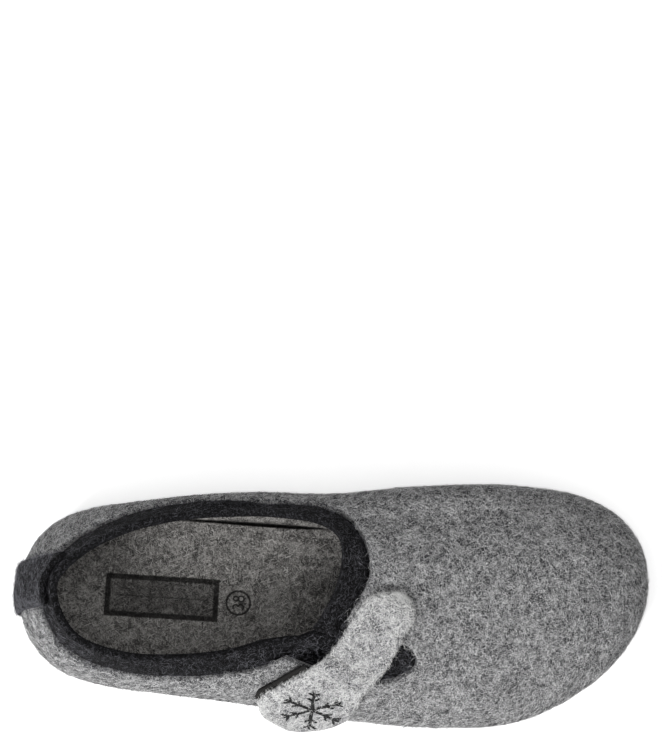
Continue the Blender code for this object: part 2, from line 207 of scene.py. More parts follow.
def wall(turn, climb):
    """Outer surface: at each turn a cubic Bezier curve from the widest line to the opening."""
    low = outline(turn)
    high = np.stack([around("x", turn) * LENGTH, around("y", turn) * WIDTH,
                     around("z", turn) * RISE], -1)
    span = high - low
    side = low + np.stack([0 * turn, 0 * turn, around("lift", turn) * span[..., 2]], -1)
    reach = around("reach", turn)[..., None]
    under = high - span * np.array([1.0, 1.0, 0.0]) * reach
    under = under - np.stack([0 * turn, 0 * turn, around("drop", turn) * span[..., 2]], -1)
    t = climb[..., None]
    return ((1 - t) ** 3 * low + 3 * t * (1 - t) ** 2 * side + 3 * t * t * (1 - t) * under
            + t ** 3 * high)


def wall_normal(turn, climb):
    """Cross product of the wall's two small steps, made unit length; points outwards."""
    step = 1e-4
    du = wall(turn + step, climb) - wall(turn - step, climb)
    dv = wall(turn, climb + step) - wall(turn, climb - step)
    normal = np.cross(du, dv)
    return normal / np.linalg.norm(normal, axis=-1)[..., None]


def arc_climb(turn, back):
    """Climb at which the wall is the length back below the opening, measured along it."""
    climbs = np.linspace(0.0, 1.0, 81)
    points = wall(*np.meshgrid(turn, climbs, indexing="ij"))
    steps = np.linalg.norm(np.diff(points, axis=1), axis=2)
    length = np.concatenate([np.zeros((len(turn), 1)), np.cumsum(steps, 1)], 1)
    return np.array([np.interp(length[i, -1] - back[i], length[i], climbs)
                     for i in range(len(turn))])


def notch(turn):
    """Depth of the notch beside the throat: a stretched half circle over its width."""
    off = np.clip(np.abs(np.mod(turn, 1.0) - NOTCH_TURN) / NOTCH_HALF, 0.0, 1.0)
    return NOTCH_DEEP * np.sqrt(1 - off ** 3.5)


def under_wall(turn, share, depth):
    """Quarter oval from the widest line (share 0) in to the foot on the sole (share 1)."""
    ring = outline(turn)
    level = wall_normal(turn, 0 * turn)
    level[..., 2] = 0.0
    angle = share * np.pi / 2
    foot = seat(ring[..., 0]) + CLEAR
    inset = TUCK * (1 - np.cos(angle)) + depth * np.cos(angle)
    out = ring - level * inset
    out[..., 2] = ring[..., 2] - (ring[..., 2] - foot) * np.sin(angle) + depth * np.sin(angle)
    return out


def around_turns(count):
    """Turns around the shoe, closer together beside the notch."""
    base = np.linspace(0.0, 1.0, 4001)
    weight = 1.0 + 1.2 * np.exp(-((base - NOTCH_TURN) / 0.05) ** 2)
    for side in (-1, 1):
        weight = weight + 7.0 * np.exp(-((base - NOTCH_TURN - side * NOTCH_HALF) / 0.006) ** 2)
    weight = weight + 0.6 * np.exp(-((base - 0.66) / 0.05) ** 2)
    total = np.concatenate([[0.0], np.cumsum((weight[1:] + weight[:-1]) / 2)])
    return np.interp(np.arange(count) / count * total[-1], total, base)


# ---- tools

LATTICE = np.random.default_rng(SEED).random((32, 32, 32)) * 2 - 1


def lumps(points, size):
    """Value noise, -1 to 1: random values on a lattice of that size, eased between them."""
    q = points / size + 500.0
    cell = np.floor(q).astype(int)
    f = q - cell
    f = f * f * (3 - 2 * f)
    total = np.zeros(points.shape[:-1])
    for corner in range(8):
        bits = np.array([corner & 1, corner >> 1 & 1, corner >> 2 & 1])
        weight = np.prod(np.where(bits == 1, f, 1 - f), axis=-1)
        at = np.mod(cell + bits, 32)
        total = total + weight * LATTICE[at[..., 0], at[..., 1], at[..., 2]]
    return total


def felt_lumps(points):
    """Unevenness of milled felt: three sizes of noise, the finest the weakest."""
    return LUMP * (1.5 * lumps(points, 0.014) + 0.8 * lumps(points, 0.0045)
                   + 0.45 * lumps(points, 0.0018))


def mesh_from(name, points, quads, mat, flip=False):
    """Mesh object from points and quads given as whole arrays."""
    points = np.asarray(points, float).reshape(-1, 3) - np.array([TREAD_X, 0.0, 0.0])
    quads = np.asarray(quads, int)
    if flip:
        quads = quads[:, ::-1]
    mesh = bpy.data.meshes.new(name)
    mesh.from_pydata(points.tolist(), [], quads.tolist())
    mesh.polygons.foreach_set("use_smooth", np.ones(len(mesh.polygons), bool))
    mesh.materials.append(mat)
    mesh.update()
    item = bpy.data.objects.new(name, mesh)
    bpy.context.scene.collection.objects.link(item)
    return item


def grid_quads(rows, cols, wrap_rows=False, wrap_cols=False, start=0):
    """Quads of a grid of points, joined round in either direction if asked."""
    i = np.arange(rows if wrap_rows else rows - 1)
    j = np.arange(cols if wrap_cols else cols - 1)
    i, j = np.meshgrid(i, j, indexing="ij")
    a = i * cols + j
    b = i * cols + (j + 1) % cols
    c = ((i + 1) % rows) * cols + (j + 1) % cols
    d = ((i + 1) % rows) * cols + j
    return np.stack([a, b, c, d], -1).reshape(-1, 4) + start


def finish_piece(item, node):
    """Rides on the shoe and, if a solid is named, stands for it and hides it."""
    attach(item, "root")
    if node:
        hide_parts(node)
    return item


def close_up(item, merge=0.0):
    """Merges doubled points if a distance is given and turns the faces outwards."""
    shape = bmesh.new()
    shape.from_mesh(item.data)
    if merge:
        bmesh.ops.remove_doubles(shape, verts=shape.verts, dist=merge)
        bmesh.ops.dissolve_degenerate(shape, edges=shape.edges, dist=merge / 2)
    bmesh.ops.recalc_face_normals(shape, faces=shape.faces)
    shape.to_mesh(item.data)
    shape.free()


# ---- materials

def linear(code):
    """sRGB hex to linear colour with alpha."""
    parts = [int(code[k:k + 2], 16) / 255 for k in (0, 2, 4)]
    lin = [c / 12.92 if c <= 0.04045 else ((c + 0.055) / 1.055) ** 2.4 for c in parts]
    return (*lin, 1.0)


def node(tree, kind, links=None, **settings):
    """Adds one node, sets its settings or sockets and links its inputs."""
    made = tree.nodes.new(kind)
    for key, value in settings.items():
        if key in made.inputs:
            made.inputs[key].default_value = value
    for key, value in settings.items():
        if key not in made.inputs:
            setattr(made, key, value)
    for key, source in (links or {}).items():
        tree.links.new(source, made.inputs[key])
    return made


def new_material(name):
    mat = bpy.data.materials.new(name)
    mat.use_nodes = True
    return mat, mat.node_tree, mat.node_tree.nodes["Principled BSDF"]


def ramp(tree, source, stops):
    """Colour ramp through (place, colour) stops."""
    made = node(tree, "ShaderNodeValToRGB", {"Fac": source})
    ends = made.color_ramp.elements
    ends[0].position, ends[0].color = stops[0]
    ends[1].position, ends[1].color = stops[-1]
    for place, colour in stops[1:-1]:
        extra = ends.new(place)
        extra.color = colour
    return made


def felt(name, deep, middle, pale, fibre, tuft_mm=1.3, depth_mm=0.30, sheen=0.0):
    """Milled wool felt: dark, middle and pale wool blended before felting, so the surface is
    mottled in tufts about a millimetre across, with single pale fibres lying every way."""
    mat, tree, shader = new_material(name)
    place = node(tree, "ShaderNodeTexCoord").outputs["Object"]
    grain = node(tree, "ShaderNodeTexNoise", {"Vector": place}, Scale=1000 / 0.55,
                 Detail=1.0, Roughness=0.6, Distortion=1.2)
    tuft = node(tree, "ShaderNodeTexNoise", {"Vector": place}, Scale=1000 / tuft_mm,
                Detail=2.0, Roughness=0.6, Distortion=0.8)
    cloud = node(tree, "ShaderNodeTexNoise", {"Vector": place}, Scale=1000 / (tuft_mm * 4),
                 Detail=2.0, Roughness=0.5, Distortion=0.6)
    part = node(tree, "ShaderNodeMath", {0: cloud.outputs["Fac"]}, operation="MULTIPLY")
    part.inputs[1].default_value = 0.34
    half = node(tree, "ShaderNodeMath", {0: tuft.outputs["Fac"], 2: part.outputs[0]},
                operation="MULTIPLY_ADD")
    half.inputs[1].default_value = 0.33
    mix = node(tree, "ShaderNodeMath", {0: grain.outputs["Fac"], 2: half.outputs[0]},
               operation="MULTIPLY_ADD")
    mix.inputs[1].default_value = 0.33
    wool = ramp(tree, mix.outputs[0], [(0.41, linear(deep)), (0.50, linear(middle)),
                                       (0.59, linear(pale))])
    thin = fibres(tree, place, ((0.4, 0.2), (1.5, -0.5), (2.5, 0.7)), 0.0)
    dark = fibres(tree, place, ((0.9, 0.6), (2.1, -0.3)), 31.0)
    colour = tinted(tree, dark, wool.outputs[0], deep, 0.75)
    colour = tinted(tree, thin, colour, fibre, 0.75)
    tree.links.new(colour, shader.inputs["Base Color"])
    relief = node(tree, "ShaderNodeMath", {0: thin, 2: mix.outputs[0]},
                  operation="MULTIPLY_ADD")
    relief.inputs[1].default_value = 0.25
    bump = node(tree, "ShaderNodeBump", {"Height": relief.outputs[0]}, Strength=1.0,
                Distance=depth_mm / 1000 * 4)
    tree.links.new(bump.outputs[0], shader.inputs["Normal"])
    shader.inputs["Roughness"].default_value = 0.95
    shader.inputs["Specular IOR Level"].default_value = 0.08
    shader.inputs["Sheen Weight"].default_value = sheen
    shader.inputs["Sheen Roughness"].default_value = 0.6
    return mat, tree, shader, colour


def fibres(tree, place, turns, offset):
    """Thin bright lines where a noise stretched ten times along one way peaks, for each of
    the ways given; the strongest counts."""
    lines = None
    for angle, tilt in turns:
        turned = node(tree, "ShaderNodeMapping", {"Vector": place}, vector_type="TEXTURE")
        turned.inputs["Location"].default_value = (offset, offset, angle)
        turned.inputs["Rotation"].default_value = (tilt, 0.3 * tilt, angle)
        turned.inputs["Scale"].default_value = (1 / 330, 1 / 2300, 1 / 2300)
        strands = node(tree, "ShaderNodeTexNoise", {"Vector": turned.outputs[0]},
                       Scale=1.0, Detail=1.0, Roughness=0.5, Distortion=0.8)
        if lines is None:
            lines = strands.outputs["Fac"]
        else:
            lines = node(tree, "ShaderNodeMath", {0: lines, 1: strands.outputs["Fac"]},
                         operation="MAXIMUM").outputs[0]
    return ramp(tree, lines, [(0.60, (0, 0, 0, 1)), (0.67, (1, 1, 1, 1))]).outputs[0]


def tinted(tree, amount, colour, other, share):
    """Mixes a second colour in by an amount times a share."""
    weight = node(tree, "ShaderNodeMath", {0: amount}, operation="MULTIPLY")
    weight.inputs[1].default_value = share
    mixed = node(tree, "ShaderNodeMix", {0: weight.outputs[0]}, data_type="RGBA")
    tree.links.new(colour, mixed.inputs[6])
    mixed.inputs[7].default_value = linear(other)
    return mixed.outputs[2]


def plain(name, colour, rough, grain_mm=0.0, depth_mm=0.05):
    """One even colour with a fine grain in its bump."""
    mat, tree, shader = new_material(name)
    shader.inputs["Base Color"].default_value = linear(colour)
    shader.inputs["Roughness"].default_value = rough
    shader.inputs["Specular IOR Level"].default_value = 0.2
    if grain_mm:
        place = node(tree, "ShaderNodeTexCoord").outputs["Object"]
        grain = node(tree, "ShaderNodeTexNoise", {"Vector": place}, Scale=1000 / grain_mm,
                     Detail=3.0)
        bump = node(tree, "ShaderNodeBump", {"Height": grain.outputs["Fac"]}, Strength=0.6,
                    Distance=depth_mm / 1000)
        tree.links.new(bump.outputs[0], shader.inputs["Normal"])
    return mat


# ---- felt fibres standing out of the surface

def nap(name, roots, normals, mat, length, width, lean, curl, seed, segments=3):
    """Fibres as narrow strips. Each starts at a root, leans over along the surface and
    waves sideways: point(s) = root + heading * s + normal * arch(s) + side * wave(s)."""
    rng = np.random.default_rng(seed)
    count = len(roots)
    any_way = rng.normal(size=(count, 3))
    heading = any_way - normals * np.sum(any_way * normals, 1)[:, None]
    heading /= np.linalg.norm(heading, axis=1)[:, None]
    side = np.cross(normals, heading)
    long = length * rng.uniform(0.45, 1.3, count)[:, None, None]
    s = np.linspace(0.0, 1.0, segments + 1)[None, :, None]
    lift = lean * rng.uniform(0.3, 1.0, count)[:, None, None]
    wave = curl * rng.normal(size=count)[:, None, None]
    phase = rng.uniform(0, 2 * np.pi, count)[:, None, None]
    path = (roots[:, None, :] + heading[:, None, :] * long * s * (1 - 0.25 * lift)
            + normals[:, None, :] * long * lift * s * (1.6 - s)
            + side[:, None, :] * long * wave * (np.sin(phase + 4.5 * s) - np.sin(phase)))
    taper = width * (1 - 0.7 * s)
    edge = side[:, None, :] * taper / 2 + normals[:, None, :] * taper * 0.2
    points = np.stack([path - edge, path + edge], 2).reshape(-1, 3)
    base = np.arange(count)[:, None] * (segments + 1) * 2
    k = np.arange(segments)[None, :] * 2
    quads = np.stack([base + k, base + k + 1, base + k + 3, base + k + 2], -1).reshape(-1, 4)
    return mesh_from(name, points, quads, mat)


# ---- pieces

def root_groove(points):
    """Depth of the soft groove in the vamp along the back edge of the strap's root: a bell
    curve of the distance, in plan, from a line drawn just outside that edge."""
    rows = np.linspace(0.15, 3.1, 40)
    line = edge_point("back", rows)
    step = np.gradient(line, axis=0)
    step /= np.linalg.norm(step, axis=1)[:, None]
    line = line + np.stack([step[:, 1], -step[:, 0]], -1) * 0.0012
    away = np.full(points.shape[:-1], 1.0)
    for spot in line:
        away = np.minimum(away, np.hypot(points[..., 0] - spot[0], points[..., 1] - spot[1]))
    return 0.0013 * np.exp(-(away / 0.0019) ** 2)


def surface_upper(turn, climb):
    """Outer face with felt lumps and the groove at the strap's root."""
    base = wall(turn, climb)
    lift = felt_lumps(base) - root_groove(base)
    return base + wall_normal(turn, climb) * lift[..., None]


def build_upper(mat):
    """Rings around the shoe: foot, widest line, wall, worn round cut edge, inner face, foot."""
    turn = around_turns(AROUND)
    cut = around("grey", turn) + notch(turn)
    cut = cut + 0.0005 * lumps(wall(turn, 0 * turn + 1), 0.0022)
    edge = arc_climb(turn, cut)
    rings = [under_wall(turn, s, 0.0) for s in np.linspace(1.0, 0.1, 8)]
    brow = arc_climb(turn, cut + BEVEL)
    rings += [surface_upper(turn, brow * s) for s in np.linspace(0.0, 1.0, 92)]
    for share in np.linspace(0.2, 1.0, 5):
        climb = brow + (edge - brow) * np.sin(share * np.pi / 2)
        inward = WALL * 0.5 * (1 - np.cos(share * np.pi / 2))
        base = surface_upper(turn, climb)
        rings.append(base - wall_normal(turn, climb) * inward)
    for share in (0.35, 0.75):
        inward = WALL * (0.5 + 0.5 * share)
        rings.append(wall(turn, edge) - wall_normal(turn, edge) * inward)
    for s in np.linspace(1.0, 0.0, 26):
        base = wall(turn, edge * s)
        rings.append(base - wall_normal(turn, edge * s) * WALL)
    rings += [under_wall(turn, s, WALL) for s in np.linspace(0.1, 1.0, 7)]
    points = np.array(rings)
    quads = grid_quads(len(rings), AROUND, wrap_rows=True, wrap_cols=True)
    item = mesh_from("upper_grey_felt", points, quads, mat)
    close_up(item)
    return finish_piece(item, "upper")


BAND_START = 0.376      # cut end of the collar band, lying on the other end
BAND_END = 1.405


def collar_point(along, share, level):
    """Collar band: along 0 to 1 round the opening, share 0 its sewn edge to 1 its top,
    level 0 outer face to 1 inner face. The last stretch dips under the first. Behind the
    grey felt it lies a wall's thickness deep; above the grey edge it comes out level."""
    start = BAND_START - 0.075 * smooth(0.8, 0.4, share)
    turn = start + along * (BAND_END - start)
    flat = turn.ravel()
    grey = around("grey", flat)
    full = grey + notch(flat) + BAND_TUCK
    sunk = 0.0100 * smooth(1.300, 1.362, turn.ravel())
    length = full + (sunk - full) * share.ravel()
    climb = arc_climb(flat, length).reshape(turn.shape)
    out = smooth(-0.0004, 0.0036, (grey - length).reshape(turn.shape))
    base = wall(turn, climb)
    dip = (BAND + CLEAR) * smooth(1.270, 1.325, turn)
    lump = 1.5 * felt_lumps(base + 0.3)
    depth = WALL + CLEAR - (WALL + CLEAR - BAND_LEVEL) * out + dip
    depth = depth + BAND * level - lump * (1 - level)
    return base - wall_normal(turn, climb) * depth[..., None]


def build_collar(mat):
    """Closed strip: outer face up, rounded top, inner face down, and the sewn edge."""
    cols = 640
    along = np.linspace(0.0, 1.0, cols)
    rows = [(share, 0.0) for share in np.linspace(0.0, 0.96, 44)]
    for angle in np.linspace(0.2, np.pi - 0.2, 9):
        rows.append((0.96 + 0.04 * np.sin(angle) ** 0.7, (1 - np.cos(angle)) / 2))
    rows += [(share, 1.0) for share in np.linspace(0.96, 0.0, 30)]
    grid = np.array([collar_point(along, share + 0 * along, level) for share, level in rows])
    quads = grid_quads(len(rows), cols, wrap_rows=True)
    item = mesh_from("collar_dark_felt", grid, quads, mat)
    close_ends(item)
    close_up(item)
    return finish_piece(item, "collar")


def close_ends(item):
    """Fills the two open ends of a strip with faces of three corners."""
    shape = bmesh.new()
    shape.from_mesh(item.data)
    rim = [edge for edge in shape.edges if edge.is_boundary]
    made = bmesh.ops.holes_fill(shape, edges=rim, sides=0)
    bmesh.ops.triangulate(shape, faces=made["faces"])
    shape.to_mesh(item.data)
    shape.free()


def build_sole(mat):
    """Rings from the tread up the side to the seat, with both faces filled by rows."""
    count = 320
    turn = np.arange(count) / count
    ring = outline(turn)
    level = wall_normal(turn, 0 * turn)
    level[:, 2] = 0.0
    profile = ((0.0095, 0.0, 0.0), (0.0082, 0.0003, 0.0), (0.0073, 0.0012, 0.0),
               (0.0066, 0.0026, 0.0), (0.0060, 0.0, 0.45), (0.0056, -0.0008, 1.0),
               (0.0060, -0.0002, 1.0), (0.0072, 0.0, 1.0))
    rings = []
    for inset, lift, share in profile:
        line = ring - level * inset
        low = tread(line[:, 0])
        high = seat(line[:, 0])
        line[:, 2] = low + (high - low) * share + lift
        rings.append(line)
    cover = []
    for line in (rings[0], rings[-1]):
        left = line[:count // 2 + 1]
        right = np.concatenate([line[:1], line[:count // 2 - 1:-1]])
        across = np.linspace(0.0, 1.0, 17)[None, :, None]
        cover.append(left[:, None] + (right - left)[:, None] * across)
    points = [np.array(rings).reshape(-1, 3)]
    quads = [grid_quads(len(rings), count, wrap_cols=True)]
    start = len(rings) * count
    for grid in cover:
        points.append(grid.reshape(-1, 3))
        quads.append(grid_quads(grid.shape[0], grid.shape[1], start=start))
        start += grid.shape[0] * grid.shape[1]
    item = mesh_from("outsole_rubber", np.concatenate(points), np.concatenate(quads), mat)
    close_up(item, 2e-6)
    return finish_piece(item, "outsole")


def insole_edge(turn, inset):
    """Widest line drawn in by inset, on the level of the insole's top."""
    level = wall_normal(turn, 0 * turn)
    level[..., 2] = 0.0
    return outline(turn) - level * np.asarray(inset)[..., None]


def waist_slit(x, y):
    """How far a place lies past the insole's inner edge at the waist, and how far the edge
    stands open there: a straight line in plan, widest ahead of its middle."""
    past = y - (0.0309 - 0.054 * (x - 0.0674))
    stands = smooth(0.060, 0.102, x) * smooth(0.126, 0.110, x)
    return past, stands


def insole_height(x, y):
    """Top of the insole: the seat's height, pressed in a little where the foot lies, with
    the inner wall's foot rising beyond the slit at the waist."""
    place = np.stack([x, y, 0 * x], -1)
    hollow = 0.0007 * np.exp(-((x - 0.045) / 0.03) ** 2 - ((y + 0.001) / 0.02) ** 2)
    past, stands = waist_slit(x, y)
    groove = 0.0030 * np.exp(-((past - 0.0004) / (0.0003 + 0.0005 * stands)) ** 4)
    along = smooth(0.045, 0.066, x) * smooth(0.136, 0.122, x)
    flank = 0.0042 * smooth(0.0006, 0.0050, past) * along
    return (seat(x) + CLEAR + INSOLE - hollow + 0.8 * felt_lumps(place)
            - groove * smooth(0.055, 0.075, x) * smooth(0.130, 0.118, x) + flank)


def build_insole(mat):
    """Filled outline: rows across from the outer to the inner edge, rounded at the rim."""
    rows = 380
    turn = np.linspace(0.0, 0.5, rows)
    across = (1 - np.cos(np.linspace(0, np.pi, 84))) / 2
    across = np.unique(np.concatenate([across, np.linspace(0.80, 0.95, 40)]))
    cols = len(across)
    slack = INSOLE_SLACK * np.exp(-((1 - turn - 0.725) / 0.045) ** 4)
    left = insole_edge(turn, WALL + 0.0020 + 0 * turn)
    right = insole_edge(1 - turn, WALL + 0.0020 + slack)
    top = left[:, None] + (right - left)[:, None] * across[None, :, None]
    rim = np.minimum(across, 1 - across)[None, :] * np.linalg.norm(right - left, axis=1)[:, None]
    top[..., 2] = insole_height(top[..., 0], top[..., 1])
    top[..., 2] -= 0.0012 * (1 - np.sqrt(np.clip(1 - (1 - np.clip(rim / 0.0012, 0, 1)) ** 2,
                                                 0, 1)))
    foot_left = insole_edge(turn, TUCK + 5 * CLEAR + 0 * turn)
    foot_right = insole_edge(1 - turn, TUCK + 5 * CLEAR + 0 * turn)
    low = foot_left[:, None] + (foot_right - foot_left)[:, None] * across[None, :, None]
    low[..., 2] = seat(low[..., 0]) + CLEAR
    size = rows * cols
    quads = [grid_quads(rows, cols), grid_quads(rows, cols, start=size)[:, ::-1]]
    for col in (0, cols - 1):
        k = np.arange(rows - 1) * cols + col
        quads.append(np.stack([k, k + cols, size + k + cols, size + k], -1))
    item = mesh_from("insole_felt", np.concatenate([top.reshape(-1, 3), low.reshape(-1, 3)]),
                     np.concatenate(quads), mat)
    close_up(item, 2e-6)
    # Painted shade: the slit along the insole's inner edge at the waist is darkened almost to
    # black through the same layer that carries the stamps' print.
    flat = np.empty(len(item.data.vertices) * 3)
    item.data.vertices.foreach_get("co", flat)
    x, y, _ = flat.reshape(-1, 3).T
    past, stands = waist_slit(x + TREAD_X, y)
    shade = np.exp(-((past - 0.0004) / (0.0003 + 0.0005 * stands)) ** 4)
    shade = shade * smooth(0.055, 0.075, x + TREAD_X) * smooth(0.130, 0.118, x + TREAD_X)
    layer = item.data.attributes.new("ink_and_painted_shade", "FLOAT", "POINT")
    layer.data.foreach_set("value", shade.astype(np.float32))
    return finish_piece(item, "insole")


def build_stamp(mat):
    """Printed frame and size ring: fine grids on the insole whose ink amount is a function
    of the distance to the frame's lines, the ring and the strokes of the digits."""
    shapes = (("insole_frame_print", STAMP_AT, (0.052, 0.022), frame_ink),
              ("insole_size_print", RING_AT, (0.0125, 0.0125), ring_ink))
    for name, centre, size, ink_and_painted_shade in shapes:
        step = 0.00028
        cols = int(size[0] / step)
        rows = int(size[1] / step)
        u = np.linspace(-size[0] / 2, size[0] / 2, cols)
        v = np.linspace(-size[1] / 2, size[1] / 2, rows)
        v, u = np.meshgrid(v, u, indexing="ij")
        c, s = np.cos(STAMP_TURN), np.sin(STAMP_TURN)
        x = centre[0] + u * c - v * s
        y = centre[1] + u * s + v * c
        grid = np.stack([x, y, insole_height(x, y) + 0.00006], -1)
        item = mesh_from(name, grid, grid_quads(rows, cols), mat)
        layer = item.data.attributes.new("ink_and_painted_shade", "FLOAT", "POINT")
        layer.data.foreach_set("value", ink_and_painted_shade(u, v).ravel().astype(np.float32))
        finish_piece(item, None)


STAMP_AT = (0.0579, -0.0011)
STAMP_TURN = -0.058
RING_AT = (0.0894, -0.0032)


def stroke(distance, half):
    """1 on a printed line, falling to 0 just past its half width."""
    return 1 - smooth(half * 0.6, half * 1.4, distance)


def frame_ink(u, v):
    """A rectangle's border, a thinner ink film inside and one rule across the middle."""
    box_u = np.abs(u) - 0.0234
    box_v = np.abs(v) - 0.0088
    edge = np.maximum(box_u, box_v)
    border = smooth(0.0002, -0.0002, edge) * smooth(-0.0030, -0.0018, edge)
    film = smooth(0.0, -0.0004, edge) * 0.50
    rule = stroke(np.abs(v), 0.00022) * (np.abs(u) < 0.0195)
    return np.clip(np.maximum(np.maximum(0.95 * border, film), 0.8 * rule), 0, 1)


def ring_ink(u, v):
    """A ring round the two digits of the size, which read across the shoe."""
    ring = stroke(np.abs(np.hypot(u, v) - 0.0049), 0.00042)
    # the digits are turned a quarter: p runs along the line of text, q up the digits
    p = v
    q = -u
    total = ring
    for centre, is_three in ((-0.00175, True), (0.00175, False)):
        for mid, radius in ((0.00108, 0.00098), (-0.00108, 0.00118)):
            away = np.abs(np.hypot((p - centre) * 1.05, q - mid) - radius)
            ink_and_painted_shade = stroke(away, 0.00036)
            if is_three:
                ink_and_painted_shade = ink_and_painted_shade * ((p > centre - 0.0001) | (np.abs(q) > 0.0015))
            total = np.maximum(total, ink_and_painted_shade)
    return total


# strap

def wall_tree():
    """The wall without its notch, for heights under the strap."""
    grid = wall(*np.meshgrid(np.linspace(0.25, 0.55, 241), np.linspace(0, 1, 101),
                             indexing="ij"))
    quads = grid_quads(241, 101)
    return BVHTree.FromPolygons(grid.reshape(-1, 3).tolist(), quads.tolist())


def edge_point(name, row):
    """One edge of the strap seen from above, at a fractional row of its table."""
    rows = np.arange(len(STRAP_ROWS))
    x = blend(row, rows, [getattr(r, name + "_x") for r in STRAP_ROWS]) * LENGTH
    y = blend(row, rows, [getattr(r, name + "_y") for r in STRAP_ROWS]) * WIDTH
    return np.stack([x, y], -1)


def strap_under(tree, plan, row, gap):
    """Underside height: a soft maximum of the wall's height and a disc that slopes away."""
    heights = np.full(len(plan), -1.0)
    for i, (x, y) in enumerate(plan):
        hit = tree.ray_cast((float(x), float(y), 0.2), (0.0, 0.0, -1.0))
        if hit[0] is not None:
            heights[i] = hit[0].z
    rest = heights + gap + 0.0022 * smooth(4.0, 7.0, row)
    fall = plan[:, 1] - DISC_Y * WIDTH
    disc = DISC_HIGH + fall * DISC_SLOPE - DISC_BEND * fall ** 2 - 0.040 * smooth(5.5, 2.0, row)
    return 0.5 * (rest + disc + np.sqrt((rest - disc) ** 2 + EASE ** 2))


def strap_grid(tree, rows, across, widen, gap):
    """Underside points for rows along the strap and places across it, -1 to 1."""
    row, place = np.meshgrid(rows, across, indexing="ij")
    back = edge_point("back", row)
    front = edge_point("front", row)
    half = (front - back) / 2
    size = np.linalg.norm(half, axis=-1)[..., None]
    plan = (back + front) / 2 + half * place[..., None] * (1 + widen / np.maximum(size, 1e-4))
    height = strap_under(tree, plan.reshape(-1, 2), row.reshape(-1), gap)
    return np.concatenate([plan, height.reshape(row.shape)[..., None]], -1)


def grid_normals(grid):
    """Unit normals of a grid of points, turned upward."""
    normal = np.cross(np.gradient(grid, axis=0), np.gradient(grid, axis=1))
    normal /= np.linalg.norm(normal, axis=-1)[..., None]
    return normal * np.where(normal[..., 2] < 0, -1.0, 1.0)[..., None]


def strap_top(low, rows, across):
    """Top face: the strap's thickness, rounded off at its edges and thin at its root,
    where it is felted onto the upper."""
    rows = np.asarray(rows)[:, None]
    across = np.asarray(across)[None, :]
    side = np.sqrt(np.clip(1 - np.abs(across) ** 9, 0, 1))
    last = len(STRAP_ROWS) - 1
    ends = np.sqrt(np.clip(1 - (1 - np.clip((last - rows) / 0.9, 0, 1)) ** 3, 0, 1))
    root = 0.30 + 0.70 * smooth(0.0, 2.4, rows + 0.5 * (1 - across))
    crease = 0.0007 * np.exp(-((rows - 2.95) / 0.13) ** 2) * smooth(0.35, 0.8, across)
    thick = STRAP * (0.35 + 0.65 * side * ends) * root
    return low + grid_normals(low) * (thick - crease + 1.4 * felt_lumps(low + 0.7))[..., None]


def sheet_quads(rows, cols):
    """Quads of a closed body between two grids of one shape."""
    size = rows * cols
    rim = np.concatenate([np.arange(cols), np.arange(1, rows) * cols + cols - 1,
                          (rows - 1) * cols + np.arange(cols - 2, -1, -1),
                          np.arange(rows - 2, 0, -1) * cols])
    after = np.roll(rim, -1)
    return np.concatenate([grid_quads(rows, cols), grid_quads(rows, cols, start=size)[:, ::-1],
                           np.stack([rim, after, size + after, size + rim], -1)])


def build_strap(tree, mat):
    rows = np.linspace(0.0, len(STRAP_ROWS) - 1.0, 240)
    across = np.sin(np.linspace(-np.pi / 2, np.pi / 2, 81))
    low = strap_grid(tree, rows, across, 0.0, CLEAR + 0.0003)
    high = strap_top(low, rows, across)
    points = np.concatenate([low.reshape(-1, 3), high.reshape(-1, 3)])
    item = mesh_from("strap_felt", points, sheet_quads(len(rows), len(across)), mat)
    close_up(item, 2e-6)
    finish_piece(item, "strap")
    return high


def build_tape(tree, mat, thread):
    """Hook tape under the disc with a row of overcast stitches along its showing edge."""
    rows = np.linspace(6.2, 9.6, 90)
    across = np.linspace(-1.0, 0.15, 24)
    low = strap_grid(tree, rows, across, TAPE_SHOW, CLEAR + 0.0003)
    drop = grid_normals(low)
    points = np.concatenate([(low - drop * (CLEAR + TAPE)).reshape(-1, 3),
                             (low - drop * CLEAR).reshape(-1, 3)])
    item = mesh_from("hook_tape_nylon", points, sheet_quads(len(rows), len(across)), mat)
    close_up(item, 2e-6)
    finish_piece(item, "hook_tape")
    stitches = np.arange(2, len(rows) - 2, 2)
    edge = low[stitches, 0] - drop[stitches, 0] * (CLEAR + TAPE / 2)
    inner = low[stitches, 3] - drop[stitches, 3] * CLEAR * 0.5
    out = edge - inner
    out /= np.linalg.norm(out, axis=1)[:, None]
    paths = np.stack([inner, inner + drop[stitches, 0] * 0.0006 + out * 0.0008,
                      edge + out * 0.0006 + drop[stitches, 0] * 0.0004,
                      edge - drop[stitches, 0] * 0.0012], 1)
    tubes("hook_tape_stitches", paths, 0.00026, thread)


def tubes(name, paths, radius, mat, sides=6):
    """Many short threads: a ring of points round each point of each path."""
    step = np.gradient(paths, axis=1)
    step /= np.linalg.norm(step, axis=2)[..., None]
    side = np.cross(step, np.array([0.31, 0.12, 0.94]))
    side /= np.linalg.norm(side, axis=2)[..., None]
    other = np.cross(step, side)
    angle = np.arange(sides) / sides * 2 * np.pi
    radius = np.broadcast_to(radius, paths.shape[:2])[..., None, None]
    ring = (paths[:, :, None] + radius * (side[:, :, None] * np.cos(angle)[:, None]
                                          + other[:, :, None] * np.sin(angle)[:, None]))
    many, long = paths.shape[:2]
    quads = grid_quads(long, sides, wrap_cols=True)
    all_quads = (quads[None] + (np.arange(many) * long * sides)[:, None, None]).reshape(-1, 4)
    caps = []
    for end in (0, (long - 1) * sides):
        for k in range(1, sides // 2):
            caps.append((end + k - 1, end + k, end + sides - k - 1, end + sides - k))
    caps = np.array(caps)
    caps = (caps[None] + (np.arange(many) * long * sides)[:, None, None]).reshape(-1, 4)
    item = mesh_from(name, ring, np.concatenate([all_quads, caps]), mat)
    return finish_piece(item, None)


FLAKE_AT = (0.1189, -0.0500)
FLAKE_LONG = 0.0130
FLAKE_TALL = 0.0063


